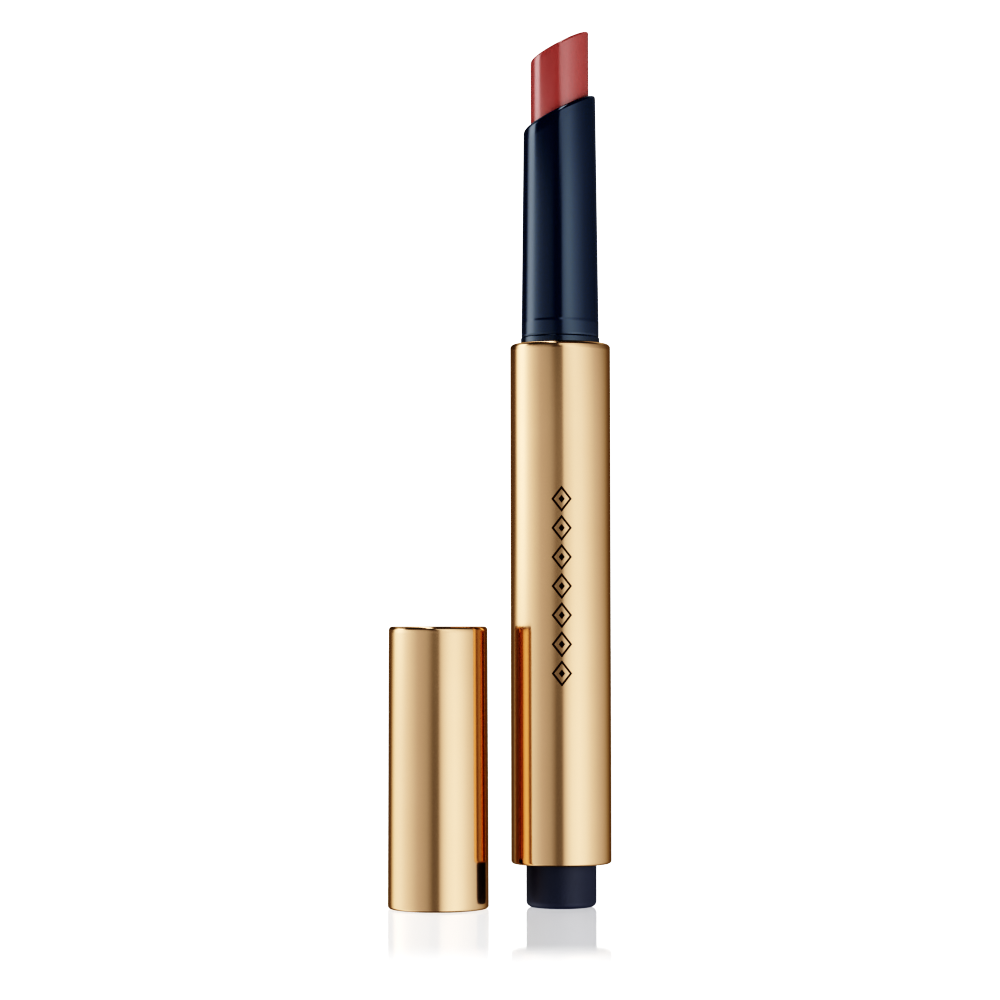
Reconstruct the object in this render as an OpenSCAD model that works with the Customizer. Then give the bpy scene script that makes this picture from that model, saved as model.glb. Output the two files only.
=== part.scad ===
// Slim click-up lipstick pen with its cap standing beside it.
// Each press of the button at the foot turns a toothed rotor one step. The rotor turns a flatted,
// threaded rod through a fixed nut, and the rod pushes the cup with the lipstick up the sleeve.
// Millimetres. The origin is the middle of the button's flat foot and +Z runs up the pen's axis.

/* [Case] */
// Outer diameter of the gold case
case_d = 14; // [13.6:0.1:14.4]
// Length of the gold case
case_l = 72.4; // [70:0.1:76]

/* [Button] */
// Diameter of the button that stands out of the case
button_d = 9.8; // [9.6:0.1:9.8]
// Height of the button below the case
button_h = 6; // [5:0.1:6.5]
// Travel of the button
button_travel = 1.8; // [1.4:0.1:1.8]
// Teeth round each cam ring, one for each click of a full turn
cam_teeth = 12; // [8:1:16]

/* [Sleeve and lipstick] */
// Height of the sleeve's high side above the case
sleeve_h = 35.2; // [33:0.1:36]
// Slope of the sleeve's mouth, in degrees
sleeve_slant = 26; // [20:0.5:32]
// Diameter of the lipstick
bullet_d = 8.15; // [8:0.05:8.15]
// Height of the lipstick's tip above the case
bullet_h = 44.2; // [40:0.1:44.5]
// Slope of the lipstick's tip, in degrees
bullet_slant = 27; // [25:0.5:32]
// Rise of the lipstick for one full turn of the rod
thread_lead = 4; // [3:0.5:4]

/* [Cap] */
// Outer diameter of the cap at its open end
cap_d = 14; // [13.6:0.05:14]
// Outer diameter of the cap at its closed end
cap_top_d = 13.72; // [13.4:0.01:13.8]
// Height of the cap
cap_h = 39; // [38.6:0.1:40]
// Distance from the pen's axis to the cap's axis, to the left
cap_gap = 17.1; // [15:0.05:30]
// How far the cap's axis stands in front of the pen's axis
cap_front = 2.4; // [0:0.1:10]

/* [Hidden] */
$fn = 96;

// Gaps: between glued or pressed pieces, between sliding pieces, between threads, between teeth
press_gap = 0.03;
face_gap = 0.05;
slide_gap = 0.1;
thread_gap = 0.14;
tooth_gap = 0.15;
// A cutting tool runs this far past the face that it cuts
over = 1;
// Small chamfers that lead one piece into another
lead_in = 0.3;

// Case: levels, and the radius of its rolled edges
case_z0 = button_h;
case_z1 = case_z0 + case_l;
edge_r = 0.5;
foot_edge_r = 0.4;
case_lip_t = 0.75;

// Inner barrel: bored for the clicker below, and for the nut and the sleeve above
barrel_r = case_d / 2 - 0.7;
barrel_z0 = case_z0 + 1.4;
barrel_shoulder_z = case_z1 - case_lip_t - face_gap;
neck_r = 5.5;
neck_z1 = case_z1 + 0.95;
neck_edge_r = 0.1;
chamber_r = 5.6;
spring_seat_z = 28;
spring_seat_t = 1.5;
ledge_z = 42.4;
ledge_t = 1.6;
ledge_r = 4.1;
plug_r = 4.95;

// Nut in the barrel, under the sleeve
nut_z0 = ledge_z + ledge_t;
nut_h = 6;
nut_r = 4.4;
nut_ribs = 8;
nut_rib_w = 1.6;
nut_rib_r = 4.85;

// Sleeve: plugged in the barrel, with a bead above the collar and a long taper over it
sleeve_z0 = nut_z0 + nut_h + face_gap;
sleeve_z1 = case_z1 + sleeve_h;
sleeve_bore_r = bullet_d / 2 + slide_gap;
sleeve_base_r = 5.4;
sleeve_top_r = 5.01;
bead_z0 = neck_z1 + face_gap;
bead_h = 2.25;
bead_r = 5.42;
bead_edge = 0.15;
bead_lead = 0.2;
groove_w = 1.2;
groove_r = 4.6;
groove_z1 = 104.6;
snap_z = 68;
snap_h = 0.9;
snap_r = 5.1;

// Friction ring between the sleeve and the barrel
grip_ring_z = 72.95;
grip_ring_t = 0.19;
grip_groove_h = 1.1;

// Thread: two starts, with flats on two sides of the rod
rod_crest_r = 1.9;
rod_root_r = 1.45;
rod_flat = 1.4;
starts = 2;
crest_sharpness = 1.1;
rod_z0 = 17;
thread_z1 = 61;
thread_step = 0.25;
thread_sides = 24;

// Smooth shank above the thread, and the head that turns in the cup
shank_r = 1.7;
shank_z1 = 76;
head_neck_r = 1.15;
head_r = 1.6;
head_z0 = 77.7;
head_z1 = 80.2;
head_rim_h = 1.2;
head_tip_r = 0.9;

// Cup: it carries the lipstick, and its keys keep it from turning
cup_r = bullet_d / 2;
cup_z0 = 79.2;
cup_z1 = 86;
cup_bore_r = 3.65;
cup_floor_z = 81.8;
cup_boss_r = 2.9;
cup_boss_z = 76.4;
key_w = 1;
key_r = 4.5;
key_h = 3.2;
drag_ring_z = 84.35;
drag_ring_t = 0.13;
drag_groove_h = 0.7;
drag_groove_t = 0.25;

// Lipstick: its stick, and the spigot that is held in the cup
bullet_r = bullet_d / 2;
bullet_z1 = case_z1 + bullet_h;
spigot_r = cup_bore_r - press_gap;
spigot_h = 10;

// Clicker: the collar that keeps the button in
collar_z0 = case_z0 + 0.6;
collar_z1 = collar_z0 + 3;
collar_flange_t = 0.8;
collar_r = chamber_r - press_gap;
collar_bore_r = button_d / 2 + slide_gap;

// Clicker: button and pusher
button_wall = 0.75;
button_floor = 1.2;
button_edge_r = 0.75;
pusher_plug_r = button_d / 2 - button_wall - press_gap;
pusher_floor_z = 2.2;
pusher_bore_r = 3.25;
flange_z0 = collar_z1 + face_gap;
flange_t = 1;
flange_r = 5.4;
guide_w = 1.6;
guide_r = 5.95;
guide_slot_h = 11;
pusher_crown_r = 4.9;

// Clicker: the levels of the teeth, from the pusher up to the upper ring
tooth_h = 1.1;
tooth_inset = 0.08;
tooth_root = 0.3;
crown_in_r = 4;
cam_in_r = 5;
cam_out_r = 5.5;
crown_root_z = 13.4;
crown_tip_z = crown_root_z + tooth_h;
rotor_flange_t = 1;
rotor_low_tip_z = crown_tip_z + tooth_gap;
rotor_low_root_z = rotor_low_tip_z + tooth_h;
rotor_high_root_z = rotor_low_root_z + rotor_flange_t;
rotor_high_tip_z = rotor_high_root_z + tooth_h;
upper_tip_z = rotor_high_tip_z + button_travel + tooth_gap;
upper_root_z = upper_tip_z + tooth_h;
upper_ring_t = 2.2;
lower_ring_t = 0.8;

// Rotor's long tube, which slides over the rod's flats
rotor_tube_r = 2.9;
rotor_z0 = 12;
rotor_z1 = 40;

// Return spring and its washer
washer_t = 0.4;
washer_z0 = rotor_high_root_z + face_gap;
spring_z0 = washer_z0 + washer_t + face_gap;
spring_z1 = spring_seat_z - face_gap;
spring_r = 3.5;
wire_r = 0.25;
spring_turns = 7;
end_pitch = 0.56;
coil_steps = 16;
wire_sides = 8;

// Cap: shell, and the liner whose ridge snaps over the sleeve's bead
cap_edge_r = 0.5;
cap_lip_r = 0.4;
cap_top_t = 0.8;
cap_step = 0.15;
cap_step_z = cap_h - 6.5;
liner_r = cap_d / 2 - 0.7;
liner_bore_r = 5.65;
liner_taper = 0.2;
liner_z0 = 0.6;
liner_z1 = cap_h - cap_top_t - face_gap;
liner_top_t = 1;
ridge_r = 5.36;
ridge_z = 4;
ridge_h = 0.4;
rib_count = 6;
rib_w = 0.8;
rib_t = 0.75;
rib_r = 5.35;
rib_z0 = 9;
rib_h = 20;

gold = "#d8b27a";
navy = "#1b2438";
natural = "#e8e6df";
rubber = "#2a2a2a";
steel = "#b9bcc0";
wax = "#a83c3a";

// Points along an arc about c, from one angle to the other
function arc(c, r, from, to, steps = 8) =
    [for (i = [0:steps]) let (a = from + (to - from) * i / steps) c + r * [cos(a), sin(a)]];

function clamp(x, low = 0, high = 1) = min(max(x, low), high);

// Radius of the thread at an angle from a crest
function thread_radius(a) =
    rod_root_r + (rod_crest_r - rod_root_r) * clamp(0.5 + crest_sharpness * cos(starts * a));

// One ring of the thread at height z. Its points turn with the helix, so each crest follows one line
// of the mesh. The gap widens it into a nut's bore, and two flats at x = +flat and -flat cut it off.
function thread_ring(z, gap, flat) =
    [for (j = [0:thread_sides - 1])
        let (a = 360 * j / thread_sides,
             turned = a + 360 * z / thread_lead,
             r = min(thread_radius(a) + gap, flat / max(abs(cos(turned)), 0.01)))
        [r * cos(turned), r * sin(turned), z]];

// Height of the spring's wire at turn t: the first and the last turn lie close to their neighbours
function coil_height(t) =
    let (low = spring_z0 + wire_r, high = spring_z1 - wire_r,
         pitch = (high - low - 2 * end_pitch) / (spring_turns - 2))
    t < 1 ? low + end_pitch * t
    : t > spring_turns - 1 ? high - end_pitch * (spring_turns - t)
    : low + end_pitch + pitch * (t - 1);

// Section of the spring's wire at turn t
function coil_ring(t) =
    [for (j = [0:wire_sides - 1])
        let (a = 360 * t, b = 360 * j / wire_sides, r = spring_r + wire_r * cos(b))
        [r * cos(a), r * sin(a), coil_height(t) + wire_r * sin(b)]];

// A solid from rings of points, closed at its two ends
module swept(rings) {
    n = len(rings[0]);
    last = len(rings) - 1;
    sides = [for (i = [0:last - 1], j = [0:n - 1])
        let (k = (j + 1) % n, a = i * n + j, b = a + n, c = i * n + k, d = c + n)
        each [[a, b, c], [c, b, d]]];
    foot = [[for (j = [0:n - 1]) j]];
    top = [[for (j = [n - 1:-1:0]) last * n + j]];
    polyhedron(points = [for (r = rings) each r], faces = concat(sides, foot, top), convexity = 10);
}

// A ring of saw teeth. Each rises from root_z to tip_z over 88 % of its pitch and drops back over
// the rest. The ring's back is at back_z, and tips below it make teeth that hang down.
module crown(in_r, out_r, back_z, root_z, tip_z) {
    rise = 0.88;
    shares = [0, 0.3, 0.6, rise];
    n = cam_teeth * len(shares);
    points = [for (i = [0:cam_teeth - 1], s = shares)
        let (a = 360 * (i + s) / cam_teeth, z = root_z + (tip_z - root_z) * s / rise)
        each [[in_r * cos(a), in_r * sin(a), back_z], [out_r * cos(a), out_r * sin(a), back_z],
              [out_r * cos(a), out_r * sin(a), z], [in_r * cos(a), in_r * sin(a), z]]];
    faces = [for (i = [0:n - 1], j = [0:3])
        let (k = (j + 1) % 4, m = (i + 1) % n,
             a = i * 4 + j, b = m * 4 + j, c = m * 4 + k, d = i * 4 + k)
        each (tip_z < back_z ? [[a, b, c], [a, c, d]] : [[c, b, a], [d, c, a]])];
    polyhedron(points = points, faces = faces, convexity = 10);
}

// The crown that most rings carry
module cam_crown(in_r, out_r, root_z, tip_z) {
    back_z = root_z + (tip_z > root_z ? -tooth_root : tooth_root);
    crown(in_r + tooth_inset, out_r - tooth_inset, back_z, root_z, tip_z);
}

// A round bar from z0 to z1
module disc(r, z0, z1) {
    translate([0, 0, z0]) cylinder(r = r, h = z1 - z0);
}

// A plain tube from z0 to z1
module tube(out_r, in_r, z0, z1) {
    difference() {
        disc(out_r, z0, z1);
        disc(in_r, z0 - over, z1 + over);
    }
}

// Two bars of width w that reach radius r on opposite sides, from z0 to z1
module two_keys(r, w, z0, z1) {
    translate([-r, -w / 2, z0]) cube([2 * r, w, z1 - z0]);
}

// Everything above a plane that rises towards +X and is z high where it meets x
module above_slope(x, z, slant) {
    translate([x, 0, z]) rotate([0, -slant, 0]) translate([-30, -15, 0]) cube([60, 30, 40]);
}

// A rubber ring of round section, with its outside at radius out_r
module o_ring(out_r, section_r, z) {
    translate([0, 0, z]) rotate_extrude() translate([out_r - section_r, 0]) circle(r = section_r);
}

// ---- Case: everything that stays still ----

module case_shell() {
    r = case_d / 2;
    bore_r = barrel_r + face_gap;
    lip_bore_r = neck_r + slide_gap;
    color(gold) rotate_extrude() polygon(concat(
        arc([r - foot_edge_r, case_z0 + foot_edge_r], foot_edge_r, 270, 360),
        arc([r - edge_r, case_z1 - edge_r], edge_r, 0, 90),
        [[lip_bore_r, case_z1], [lip_bore_r, case_z1 - case_lip_t], [bore_r, case_z1 - case_lip_t],
         [bore_r, case_z0]]));
}

module inner_barrel() {
    color(navy) difference() {
        union() {
            disc(barrel_r, barrel_z0, barrel_shoulder_z);
            rotate_extrude() polygon(concat(
                [[0, barrel_shoulder_z - over], [neck_r, barrel_shoulder_z - over]],
                arc([neck_r - neck_edge_r, neck_z1 - neck_edge_r], neck_edge_r, 0, 90, 4),
                [[0, neck_z1]]));
        }
        disc(chamber_r, barrel_z0 - over, spring_seat_z);
        disc(rotor_tube_r + slide_gap, barrel_z0, ledge_z);
        disc(ledge_r, spring_seat_z + spring_seat_t, nut_z0 + over);
        disc(plug_r + press_gap, nut_z0, neck_z1 + over);
        disc(snap_r + face_gap, snap_z - face_gap, snap_z + snap_h + face_gap);
        two_keys(guide_r + slide_gap, guide_w + 2 * slide_gap, barrel_z0 - over, flange_z0 + guide_slot_h / 2);
    }
}

module end_collar() {
    color(navy) difference() {
        union() {
            disc(barrel_r, collar_z0, collar_z0 + collar_flange_t);
            disc(collar_r, collar_z0, collar_z1);
        }
        disc(collar_bore_r, collar_z0 - over, collar_z1 + over);
        translate([0, 0, collar_z0])
            cylinder(r1 = collar_bore_r + lead_in, r2 = collar_bore_r, h = lead_in);
    }
}

module nozzle_sleeve() {
    bead_z1 = bead_z0 + bead_h;
    color(navy) difference() {
        rotate_extrude() polygon([
            [0, sleeve_z0], [plug_r - lead_in, sleeve_z0], [plug_r, sleeve_z0 + 2 * lead_in],
            [plug_r, snap_z], [snap_r, snap_z + snap_h / 4], [plug_r, snap_z + snap_h],
            [plug_r, bead_z0], [bead_r - bead_edge / 2, bead_z0], [bead_r, bead_z0 + bead_edge],
            [bead_r, bead_z1 - bead_lead], [sleeve_base_r, bead_z1],
            [sleeve_top_r, sleeve_z1], [0, sleeve_z1]]);
        disc(sleeve_bore_r, sleeve_z0 - over, sleeve_z1 + over);
        rotate(90) two_keys(groove_r, groove_w, sleeve_z0 - over, groove_z1);
        tube(plug_r + over, plug_r - 2 * grip_ring_t, grip_ring_z - grip_groove_h / 2,
             grip_ring_z + grip_groove_h / 2);
        above_slope(sleeve_top_r, sleeve_z1, sleeve_slant);
    }
}

module sleeve_o_ring() {
    color(rubber) o_ring(plug_r - press_gap / 2, 0.9 * grip_ring_t, grip_ring_z);
}

module rod_nut() {
    color(natural) difference() {
        union() {
            disc(nut_r, nut_z0, nut_z0 + nut_h);
            for (i = [0:nut_ribs / 2 - 1])
                rotate(360 * i / nut_ribs) two_keys(nut_rib_r, nut_rib_w, nut_z0, nut_z0 + nut_h);
        }
        swept([for (z = [nut_z0 - over / 2:thread_step:nut_z0 + nut_h + over / 2])
            thread_ring(z, thread_gap, nut_r)]);
    }
}

module upper_cam_ring() {
    color(natural) {
        tube(chamber_r - press_gap, crown_in_r, upper_root_z, upper_root_z + upper_ring_t);
        cam_crown(crown_in_r, cam_out_r, upper_root_z, upper_tip_z);
    }
}

module lower_cam_ring() {
    color(natural) {
        tube(chamber_r - press_gap, cam_in_r, crown_root_z - lower_ring_t, crown_root_z);
        cam_crown(cam_in_r, cam_out_r, crown_root_z, crown_tip_z);
    }
}

module return_spring() {
    color(steel) swept([for (i = [0:spring_turns * coil_steps]) coil_ring(i / coil_steps)]);
}

// ---- Button: the part that the thumb presses, and the pusher behind it ----

module button_cap() {
    r = button_d / 2;
    color(navy) rotate_extrude() polygon(concat(
        [[0, 0]], arc([r - button_edge_r, button_edge_r], button_edge_r, 270, 360),
        [[r, collar_z1], [r - button_wall, collar_z1], [r - button_wall, button_floor],
         [0, button_floor]]));
}

module button_pusher() {
    color(natural) difference() {
        union() {
            disc(pusher_plug_r, button_floor + face_gap, flange_z0 + flange_t / 2);
            disc(flange_r, flange_z0, flange_z0 + flange_t);
            disc(pusher_crown_r, flange_z0, crown_root_z);
            two_keys(guide_r, guide_w, flange_z0, flange_z0 + flange_t);
            cam_crown(crown_in_r, pusher_crown_r, crown_root_z, crown_tip_z);
        }
        disc(pusher_bore_r, pusher_floor_z, crown_tip_z);
    }
}

// ---- Rotor: rides on the pusher, and turns the rod by its flats ----

module cam_rotor() {
    bore_r = rod_crest_r + slide_gap;
    bore_flat = rod_flat + slide_gap;
    color(natural) difference() {
        union() {
            disc(rotor_tube_r, rotor_z0, rotor_z1);
            disc(cam_out_r, rotor_low_root_z, rotor_high_root_z);
            cam_crown(crown_in_r, cam_out_r, rotor_low_root_z, rotor_low_tip_z);
            cam_crown(crown_in_r, cam_out_r, rotor_high_root_z, rotor_high_tip_z);
        }
        intersection() {
            disc(bore_r, rotor_z0 - over, rotor_z1 + over);
            rotate(90) two_keys(2 * bore_r, 2 * bore_flat, rotor_z0 - over, rotor_z1 + over);
        }
    }
}

module spring_washer() {
    color(natural) tube(spring_r + wire_r + slide_gap, rotor_tube_r + slide_gap,
                        washer_z0, washer_z0 + washer_t);
}

// ---- Rod: threaded over its length and flatted on two sides ----

module threaded_rod() {
    color(natural) union() {
        swept([for (z = [rod_z0:thread_step:thread_z1]) thread_ring(z, 0, rod_flat)]);
        rotate_extrude() polygon([
            [0, thread_z1 - over / 2], [rod_flat - face_gap, thread_z1 - over / 2],
            [shank_r, thread_z1 + over / 2], [shank_r, shank_z1 - lead_in],
            [shank_r - lead_in, shank_z1], [head_neck_r, shank_z1], [head_neck_r, head_z0],
            [head_r, head_z0], [head_r, head_z0 + head_rim_h], [head_tip_r, head_z1], [0, head_z1]]);
    }
}

// ---- Carrier: cup, its drag ring and the lipstick ----

module bullet_cup() {
    color(natural) difference() {
        union() {
            disc(cup_r, cup_z0, cup_z1);
            disc(cup_boss_r, cup_boss_z, cup_z0 + over / 2);
            rotate(90) two_keys(key_r, key_w, cup_z0, cup_z0 + key_h);
        }
        disc(cup_bore_r, cup_floor_z, cup_z1 + over);
        disc(head_r + slide_gap, head_z0 - slide_gap, head_z1 + slide_gap);
        disc(head_neck_r + slide_gap, cup_boss_z - over, head_z0);
        tube(cup_r + over, cup_r - drag_groove_t, drag_ring_z - drag_groove_h / 2,
             drag_ring_z + drag_groove_h / 2);
    }
}

module cup_o_ring() {
    color(rubber) o_ring(cup_r + press_gap, drag_ring_t, drag_ring_z);
}

module lipstick_bullet() {
    color(wax) difference() {
        union() {
            disc(bullet_r, cup_z1 + press_gap, bullet_z1 + over);
            disc(spigot_r, cup_floor_z + press_gap, cup_floor_z + spigot_h);
        }
        above_slope(bullet_r, bullet_z1, bullet_slant);
    }
}

// ---- Cap: gold shell and the liner that clicks on the sleeve's bead ----

module at_cap() {
    translate([-cap_gap, -cap_front, 0]) children();
}

module cap_shell() {
    foot_r = cap_d / 2;
    top_r = cap_top_d / 2;
    bore_r = liner_r + face_gap;
    color(gold) at_cap() rotate_extrude() polygon(concat(
        arc([foot_r - cap_lip_r, cap_lip_r], cap_lip_r, 270, 360),
        arc([top_r - cap_edge_r, cap_h - cap_edge_r], cap_edge_r, 0, 90),
        [[0, cap_h], [0, cap_h - cap_top_t], [bore_r - cap_step, cap_h - cap_top_t],
         [bore_r - cap_step, cap_step_z], [bore_r, cap_step_z - over / 2], [bore_r, 0]]));
}

module cap_liner() {
    color(navy) at_cap() union() {
        rotate_extrude() polygon([
            [liner_bore_r + liner_taper, liner_z0], [liner_r, liner_z0],
            [liner_r, cap_step_z - over / 2], [liner_r - cap_step, cap_step_z],
            [liner_r - cap_step, liner_z1], [0, liner_z1], [0, liner_z1 - liner_top_t],
            [liner_bore_r - 3 * liner_taper, liner_z1 - liner_top_t],
            [liner_bore_r - liner_taper, cap_step_z], [liner_bore_r, ridge_z + over],
            [ridge_r, ridge_z + ridge_h / 2], [ridge_r, ridge_z - ridge_h / 2],
            [liner_bore_r, ridge_z - over], [liner_bore_r, liner_z0 + lead_in]]);
        for (i = [0:rib_count - 1]) rotate(360 * (i + 0.5) / rib_count)
            translate([rib_r, -rib_w / 2, rib_z0]) cube([rib_t, rib_w, rib_h]);
    }
}

case_shell();
inner_barrel();
end_collar();
nozzle_sleeve();
sleeve_o_ring();
rod_nut();
upper_cam_ring();
lower_cam_ring();
return_spring();
button_cap();
button_pusher();
cam_rotor();
spring_washer();
threaded_rod();
bullet_cup();
cup_o_ring();
lipstick_bullet();
cap_shell();
cap_liner();
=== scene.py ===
# %% [markdown]
# # A slim click-up lipstick and its cap
# The real object is a metal tube over a moulded barrel. A dark sleeve stands out of it with a
# slanted mouth, a red stick stands out of the sleeve, and a push button stands out of its foot.
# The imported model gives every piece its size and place. This lesson gives the pieces that show
# a fine surface and every piece a finish, then lights them on a white table.

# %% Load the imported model
import math

import bmesh
import bpy
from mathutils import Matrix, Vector


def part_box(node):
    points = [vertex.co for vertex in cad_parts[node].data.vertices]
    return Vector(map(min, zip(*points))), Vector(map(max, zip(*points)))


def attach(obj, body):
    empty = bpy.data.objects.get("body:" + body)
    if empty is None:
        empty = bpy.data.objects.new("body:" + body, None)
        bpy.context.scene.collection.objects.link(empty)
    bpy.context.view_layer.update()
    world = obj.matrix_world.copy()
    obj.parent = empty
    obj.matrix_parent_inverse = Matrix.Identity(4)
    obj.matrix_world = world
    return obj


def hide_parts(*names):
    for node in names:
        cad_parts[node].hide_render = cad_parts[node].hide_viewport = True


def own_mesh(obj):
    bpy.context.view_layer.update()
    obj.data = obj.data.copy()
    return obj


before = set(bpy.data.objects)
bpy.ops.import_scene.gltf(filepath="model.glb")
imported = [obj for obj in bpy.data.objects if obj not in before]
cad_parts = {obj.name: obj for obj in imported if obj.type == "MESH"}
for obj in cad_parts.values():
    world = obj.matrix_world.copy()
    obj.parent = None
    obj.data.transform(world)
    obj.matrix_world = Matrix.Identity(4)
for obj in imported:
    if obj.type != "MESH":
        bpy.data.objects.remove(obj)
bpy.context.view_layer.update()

MM = 0.001

# %% [markdown]
# ## Sizes
# A imported node's box gives the sizes that matter: how wide a piece is, and where it starts and
# ends. Wall thicknesses and edges are too fine to read from a box, so they are given in
# millimetres, next to the piece that uses them.

# %% Read a round node's size
def round_size(node):
    """Axis, radius, bottom and top of an upright round node, all in millimetres."""
    low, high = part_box(node)
    axis = ((low.x + high.x) / 2 / MM, (low.y + high.y) / 2 / MM)
    return axis, (high.y - low.y) / 2 / MM, low.z / MM, high.z / MM


PEN_AXIS, CASE_R, CASE_BOTTOM, CASE_TOP = round_size("case_shell")
CAP_AXIS, CAP_R, CAP_BOTTOM, CAP_TOP = round_size("cap_shell")
_, BUTTON_R, BUTTON_BOTTOM, BUTTON_TOP = round_size("button_cap")
_, BARREL_R, BARREL_BOTTOM, NECK_TOP = round_size("inner_barrel")
_, BEAD_R, SLEEVE_BOTTOM, SLEEVE_TOP = round_size("nozzle_sleeve")
_, BULLET_R, BULLET_BOTTOM, BULLET_TOP = round_size("lipstick_bullet")
print(f"case {2 * CASE_R:.2f} mm wide, {CASE_TOP - CASE_BOTTOM:.1f} mm long; cap {CAP_TOP:.1f} mm high")

# %% [markdown]
# ## Turning a piece
# Almost every piece here is round, as if turned on a lathe. Such a shape could be a cylinder
# that is inset and extruded again and again. Spinning half of its outline round the axis is
# quicker and gives even rings, so that is the way here: one corner of a small plane is extruded
# from point to point, and the outline is spun once round. Rings close to each corner hold the
# shading of the long walls, which would otherwise bend their reflections.

# %% Start from a clean selection
AROUND = 192
HOLD = 1.0
CLOSE_HOLD = 0.15


def deselect_all():
    """Operators act on all that is selected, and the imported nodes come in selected."""
    for item in bpy.context.selected_objects:
        item.select_set(False)


def pick(piece, kind, test):
    """In edit mode, selects the vertices, edges or faces that pass a test."""
    modes = {"verts": "VERT", "edges": "EDGE", "faces": "FACE"}
    bpy.ops.mesh.select_mode(type=modes[kind])
    bpy.ops.mesh.select_all(action="DESELECT")
    mesh = bmesh.from_edit_mesh(piece.data)
    for part in getattr(mesh, kind):
        part.select_set(test(part))
    mesh.select_flush_mode()
    bmesh.update_edit_mesh(piece.data)


# %% Spin an outline
def held(outline, hold):
    """The outline with a point a little way, hold, from both ends of each long stretch."""
    points = [outline[0]]
    for start, end in zip(outline, outline[1:]):
        start_v, end_v = Vector(start), Vector(end)
        run = end_v - start_v
        if run.length > 3 * hold:
            step = run.normalized() * hold
            points += [tuple(start_v + step), tuple(end_v - step)]
        points.append(end)
    return points


def turned(name, outline, axis=PEN_AXIS, hold=HOLD):
    """Spins half an outline, as (radius, height) in millimetres, round an upright axis."""
    points = [Vector((axis[0] + r, axis[1], z)) * MM for r, z in held(outline, hold)]
    deselect_all()
    bpy.ops.mesh.primitive_plane_add(size=MM, location=points[0])
    piece = bpy.context.object
    piece.name = name
    bpy.ops.object.transform_apply(location=True, rotation=True, scale=True)
    bpy.ops.object.mode_set(mode="EDIT")
    bpy.ops.mesh.select_mode(type="VERT")
    bpy.ops.mesh.select_all(action="SELECT")
    bpy.ops.mesh.merge(type="CENTER")
    for start, end in zip(points, points[1:]):
        bpy.ops.mesh.extrude_region_move(TRANSFORM_OT_translate={"value": end - start})
    bpy.ops.mesh.select_all(action="SELECT")
    bpy.ops.mesh.spin(steps=AROUND, angle=2 * math.pi, axis=(0, 0, 1),
                      center=(axis[0] * MM, axis[1] * MM, 0))
    bpy.ops.mesh.select_all(action="SELECT")
    bpy.ops.mesh.remove_doubles(threshold=0.001 * MM)
    bpy.ops.mesh.normals_make_consistent(inside=False)
    bpy.ops.object.mode_set(mode="OBJECT")
    return piece


# %% Round off corners and finish a piece
def round_ring(piece, radius, height, width, segments=6, axis=PEN_AXIS):
    """Bevels the ring of edges at one corner of a turned piece. Sizes in millimetres."""
    def on_ring(vertex):
        across = math.hypot(vertex.co.x - axis[0] * MM, vertex.co.y - axis[1] * MM)
        return abs(across - radius * MM) < 0.01 * MM and abs(vertex.co.z - height * MM) < 0.01 * MM

    bpy.ops.object.mode_set(mode="EDIT")
    pick(piece, "edges", lambda edge: all(on_ring(v) for v in edge.verts))
    bpy.ops.mesh.bevel(offset=width * MM, segments=segments, profile=0.5, affect="EDGES")
    bpy.ops.object.mode_set(mode="OBJECT")


def finish_piece(piece, body, slot, *nodes, smooth=35):
    """Smooths a piece, and says what it rides on and the nodes it stands for. The slot argument is not
    used.
    """
    deselect_all()
    bpy.context.view_layer.objects.active = piece
    piece.select_set(True)
    bpy.ops.object.shade_smooth_by_angle(angle=math.radians(smooth))
    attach(piece, body)
    if nodes:
        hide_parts(*nodes)
    print(f"{piece.name}: {len(piece.data.polygons)} faces")
    return piece


# %% [markdown]
# ## The gold case
# The case is a drawn aluminium tube. Its top edge is rolled over the barrel's shoulder with a
# soft round, and its foot has a smaller one. Those two rounds catch the thin dark lines that
# outline the tube, so they get six segments each.

# %% Case shell
CASE_WALL = 0.65
CASE_LIP = 0.75
CASE_TOP_ROUND = 0.5
CASE_FOOT_ROUND = 0.4
THIN_ROUND = 0.12
NECK_R = 5.5
NECK_GAP = 0.1

case_bore = CASE_R - CASE_WALL
lip_bore = NECK_R + NECK_GAP
case = turned("case_tube", [
    (CASE_R, CASE_BOTTOM), (CASE_R, CASE_TOP), (lip_bore, CASE_TOP),
    (lip_bore, CASE_TOP - CASE_LIP), (case_bore, CASE_TOP - CASE_LIP), (case_bore, CASE_BOTTOM),
    (CASE_R, CASE_BOTTOM)])
round_ring(case, CASE_R, CASE_TOP, CASE_TOP_ROUND)
round_ring(case, CASE_R, CASE_BOTTOM, CASE_FOOT_ROUND)
round_ring(case, lip_bore, CASE_TOP, THIN_ROUND, segments=3)
finish_piece(case, "case", "gold_metal", "case_shell")

# %% [markdown]
# ## The moulded barrel
# Only the barrel's neck shows, as a low dark collar between the case and the sleeve. It is
# turned with its whole wall, so that it is also right where the case is seen from its foot.

# %% Inner barrel
CHAMBER_R = 5.6
NECK_BORE = 4.98
SEAT_R = 3.0
LEDGE_R = 4.1
NECK_ROUND = 0.1
FIT_GAP = 0.05
NUT_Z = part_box("rod_nut")[0].z / MM
SEAT_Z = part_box("return_spring")[1].z / MM + FIT_GAP
SEAT_T = 1.5

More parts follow.
